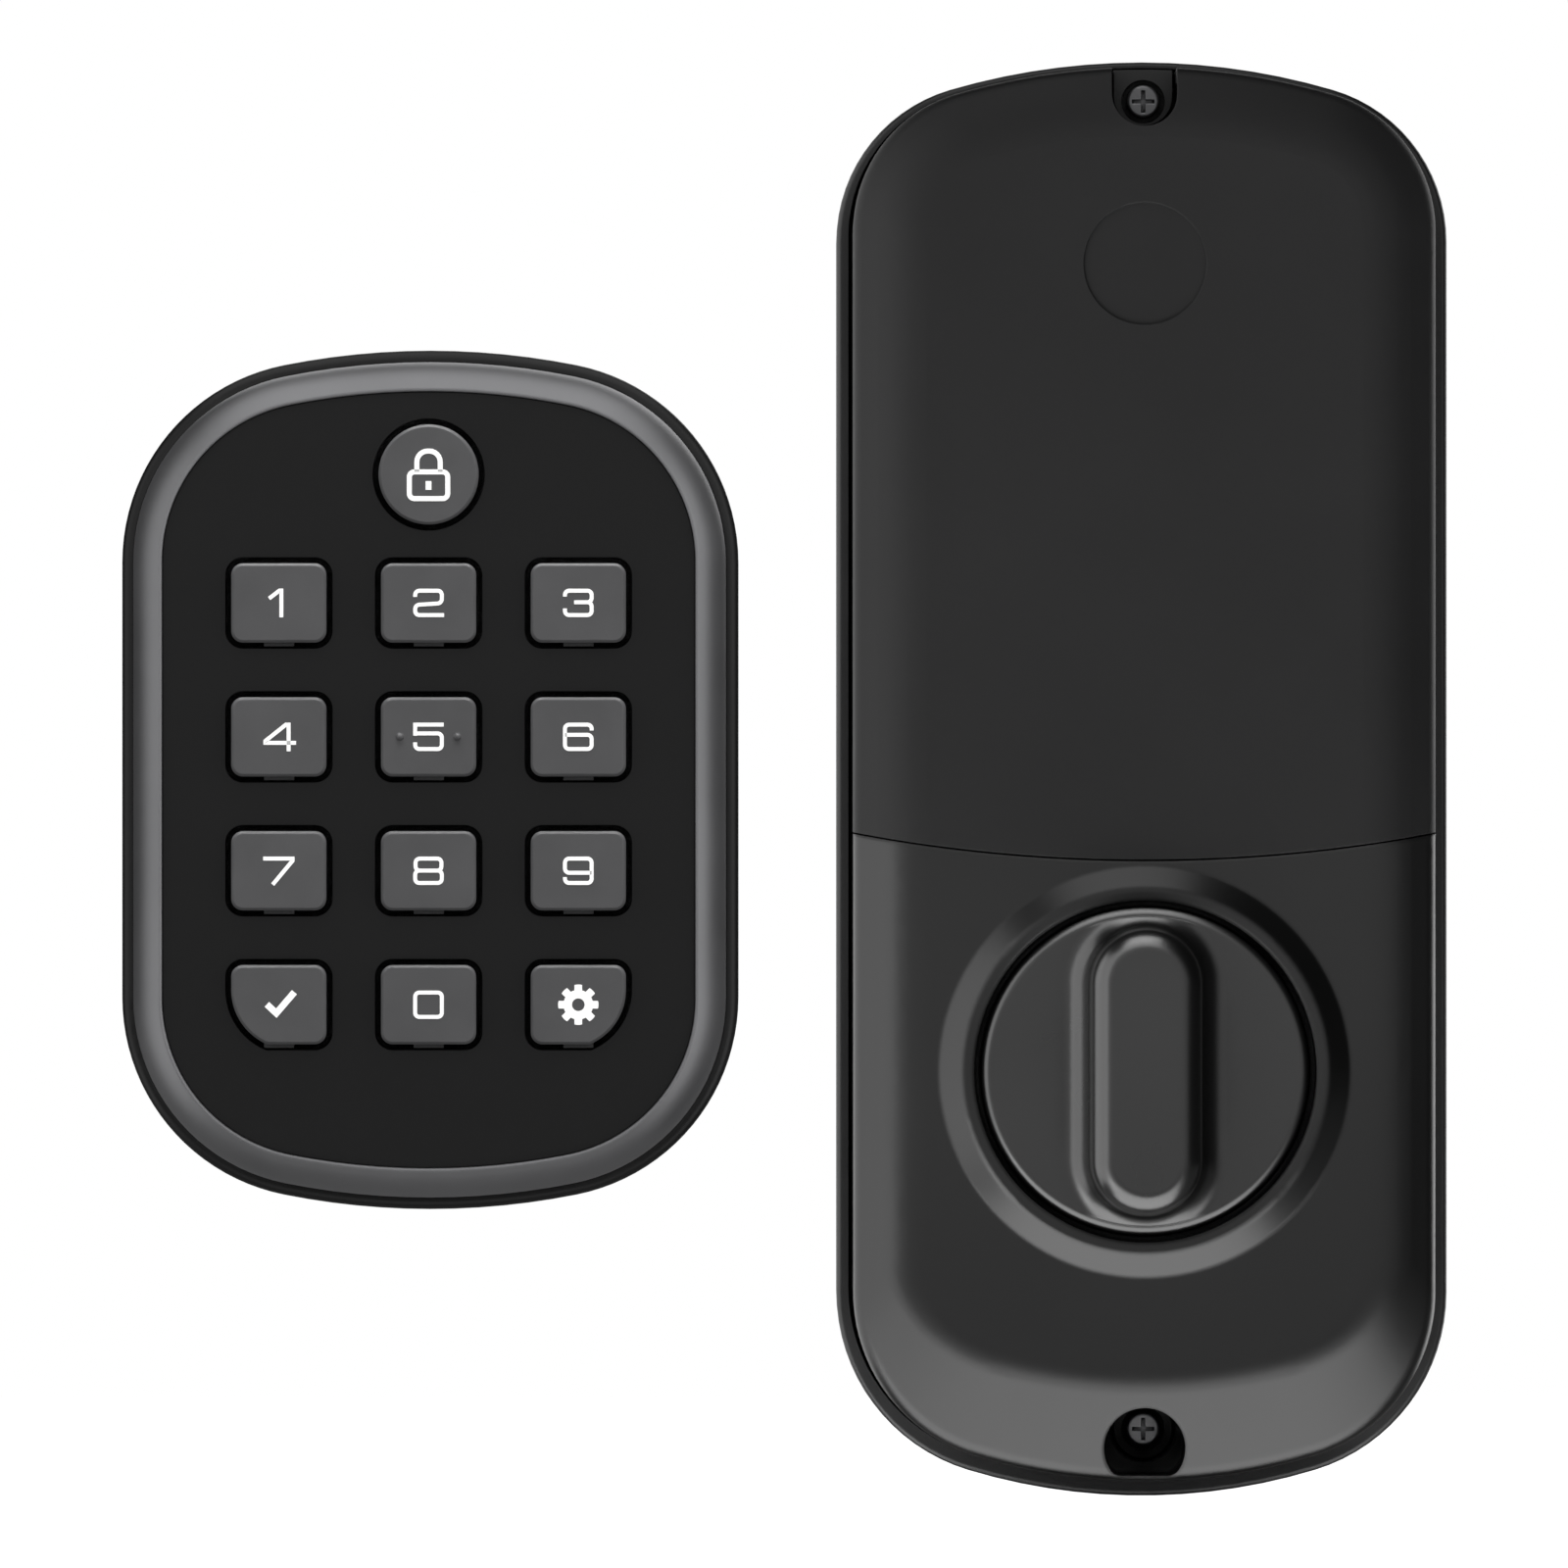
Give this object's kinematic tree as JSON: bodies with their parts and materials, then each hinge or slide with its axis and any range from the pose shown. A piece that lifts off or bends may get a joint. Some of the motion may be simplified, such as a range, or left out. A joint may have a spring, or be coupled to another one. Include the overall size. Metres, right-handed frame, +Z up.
{
  "type": "keypad smart deadbolt lock",
  "caption": "Motorised deadbolt lock: a push-button keypad for the outside of a door and a battery-powered escutcheon with a thumb-turn for the inside.",
  "frame": {"origin": "where the thumb-turn spindle axis crosses the door plane, midway between the two through-bolt holes of the interior mounting plate", "axes": "+X to the right seen from the front, +Z up, and both fronts face -Y, so +Y points into the door"},
  "size_m": [0.1594, 0.077, 0.1724],
  "materials": {
    "gasket_rubber": "matte moulded foam rubber",
    "case_black": "satin black powder coat",
    "bezel_black": "semi-gloss black paint",
    "face_black": "fine-textured near-black plastic",
    "key_grey": "satin dark grey plastic",
    "legend_white": "white printed legend paint",
    "silicone": "translucent grey silicone",
    "circuit_board": "green solder mask",
    "connector": "off-white nylon",
    "brass": "plain brass",
    "steel": "zinc-plated steel",
    "nickel": "nickel-plated contact",
    "plate_metal": "stamped zinc-plated steel",
    "cover_matte": "matte black plastic with a fine texture",
    "cover_satin": "satin black paint",
    "turn_satin": "satin black paint",
    "dark_screw": "blackened steel",
    "bush": "natural acetal",
    "gear_white": "natural acetal",
    "motor_can": "plated motor can",
    "tray_black": "moulded black plastic",
    "cell_wrap": "printed cell sleeve with plated ends",
    "module_black": "moulded black plastic",
    "chip_black": "moulded chip package"
  },
  "bodies": {
    "lock_case": {"battery_cell_1": "cell_wrap", "battery_cell_2": "cell_wrap", "battery_cell_3": "cell_wrap", "battery_cell_4": "cell_wrap", "battery_contacts": "nickel", "battery_springs": "nickel", "battery_tray": "tray_black", "buzzer": "brass", "cover_screws": "dark_screw", "gear_bridge": "plate_metal", "gear_pins": "steel", "gear_plate": "plate_metal", "gear_plate_screws": "steel", "interior_chassis": "case_black", "jump_start_terminals": "nickel", "keypad_bezel": "bezel_black", "keypad_cable_socket": "connector", "keypad_case_screws": "steel", "keypad_circuit_board": "circuit_board", "keypad_face_plate": "face_black", "keypad_rear_shell": "case_black", "lower_cover": "cover_satin", "main_board_chips": "chip_black", "main_circuit_board": "circuit_board", "motor": "motor_can", "mounting_plate": "plate_metal", "radio_module": "module_black", "radio_socket": "connector", "rear_gasket": "gasket_rubber", "rubber_keymat": "silicone", "spindle_bush": "bush", "through_bolt_posts": "steel"},
    "battery_lid": {"battery_cover": "cover_matte"},
    "turn": {"thumb_turn": "turn_satin", "thumb_turn_spindle": "steel", "spindle_clip": "steel", "tailpiece": "steel", "main_gear": "gear_white"},
    "slow_idler": {"slow_idler_gear": "gear_white"},
    "fast_idler": {"fast_idler_gear": "gear_white"},
    "motor_rotor": {"motor_pinion": "brass", "motor_shaft": "steel"},
    "wake": {"wake_button": "key_grey"},
    "key_0_cap": {"key_0": "key_grey"},
    "key_1_cap": {"key_1": "key_grey"},
    "key_2_cap": {"key_2": "key_grey"},
    "key_3_cap": {"key_3": "key_grey"},
    "key_4_cap": {"key_4": "key_grey"},
    "key_5_cap": {"key_5": "key_grey"},
    "key_6_cap": {"key_6": "key_grey"},
    "key_7_cap": {"key_7": "key_grey"},
    "key_8_cap": {"key_8": "key_grey"},
    "key_9_cap": {"key_9": "key_grey"},
    "key_check_cap": {"key_check": "key_grey"},
    "key_gear_cap": {"key_gear": "key_grey"}
  },
  "joints": [
    {"name": "thumb_turn_hinge", "type": "hinge", "parent": "lock_case", "child": "turn", "pos_m": [0, 0, 0], "axis": [0, -1, 0], "range_deg": [-90, 90]},
    {"name": "slow_idler_spin", "type": "hinge", "parent": "lock_case", "child": "slow_idler", "pos_m": [-0.01316, 0, -0.01546], "axis": [0, -1, 0], "range_deg": [-346, 346]},
    {"name": "fast_idler_spin", "type": "hinge", "parent": "lock_case", "child": "fast_idler", "pos_m": [0.00287, 0, -0.02049], "axis": [0, -1, 0], "range_deg": [-1036, 1036]},
    {"name": "motor_spin", "type": "hinge", "parent": "lock_case", "child": "motor_rotor", "pos_m": [0.018, 0, -0.026], "axis": [0, -1, 0], "range_deg": [-2933, 2933]},
    {"name": "battery_lid_lift", "type": "slide", "parent": "lock_case", "child": "battery_lid", "axis": [0, -1, 0], "range_m": [0, 0.06]},
    {"name": "wake_press", "type": "slide", "parent": "lock_case", "child": "wake", "axis": [0, 1, 0], "range_m": [0, 0.001], "stiffness_N_per_m": 800, "springref_m": -0.0005},
    {"name": "key_0_press", "type": "slide", "parent": "lock_case", "child": "key_0_cap", "axis": [0, 1, 0], "range_m": [0, 0.001], "stiffness_N_per_m": 800, "springref_m": -0.0005},
    {"name": "key_1_press", "type": "slide", "parent": "lock_case", "child": "key_1_cap", "axis": [0, 1, 0], "range_m": [0, 0.001], "stiffness_N_per_m": 800, "springref_m": -0.0005},
    {"name": "key_2_press", "type": "slide", "parent": "lock_case", "child": "key_2_cap", "axis": [0, 1, 0], "range_m": [0, 0.001], "stiffness_N_per_m": 800, "springref_m": -0.0005},
    {"name": "key_3_press", "type": "slide", "parent": "lock_case", "child": "key_3_cap", "axis": [0, 1, 0], "range_m": [0, 0.001], "stiffness_N_per_m": 800, "springref_m": -0.0005},
    {"name": "key_4_press", "type": "slide", "parent": "lock_case", "child": "key_4_cap", "axis": [0, 1, 0], "range_m": [0, 0.001], "stiffness_N_per_m": 800, "springref_m": -0.0005},
    {"name": "key_5_press", "type": "slide", "parent": "lock_case", "child": "key_5_cap", "axis": [0, 1, 0], "range_m": [0, 0.001], "stiffness_N_per_m": 800, "springref_m": -0.0005},
    {"name": "key_6_press", "type": "slide", "parent": "lock_case", "child": "key_6_cap", "axis": [0, 1, 0], "range_m": [0, 0.001], "stiffness_N_per_m": 800, "springref_m": -0.0005},
    {"name": "key_7_press", "type": "slide", "parent": "lock_case", "child": "key_7_cap", "axis": [0, 1, 0], "range_m": [0, 0.001], "stiffness_N_per_m": 800, "springref_m": -0.0005},
    {"name": "key_8_press", "type": "slide", "parent": "lock_case", "child": "key_8_cap", "axis": [0, 1, 0], "range_m": [0, 0.001], "stiffness_N_per_m": 800, "springref_m": -0.0005},
    {"name": "key_9_press", "type": "slide", "parent": "lock_case", "child": "key_9_cap", "axis": [0, 1, 0], "range_m": [0, 0.001], "stiffness_N_per_m": 800, "springref_m": -0.0005},
    {"name": "key_check_press", "type": "slide", "parent": "lock_case", "child": "key_check_cap", "axis": [0, 1, 0], "range_m": [0, 0.001], "stiffness_N_per_m": 800, "springref_m": -0.0005},
    {"name": "key_gear_press", "type": "slide", "parent": "lock_case", "child": "key_gear_cap", "axis": [0, 1, 0], "range_m": [0, 0.001], "stiffness_N_per_m": 800, "springref_m": -0.0005}
  ],
  "couplings": [
    {"joint": "slow_idler_spin", "follows": "thumb_turn_hinge", "ratio": -3.8333},
    {"joint": "fast_idler_spin", "follows": "thumb_turn_hinge", "ratio": 11.5},
    {"joint": "motor_spin", "follows": "thumb_turn_hinge", "ratio": -32.583}
  ]
}
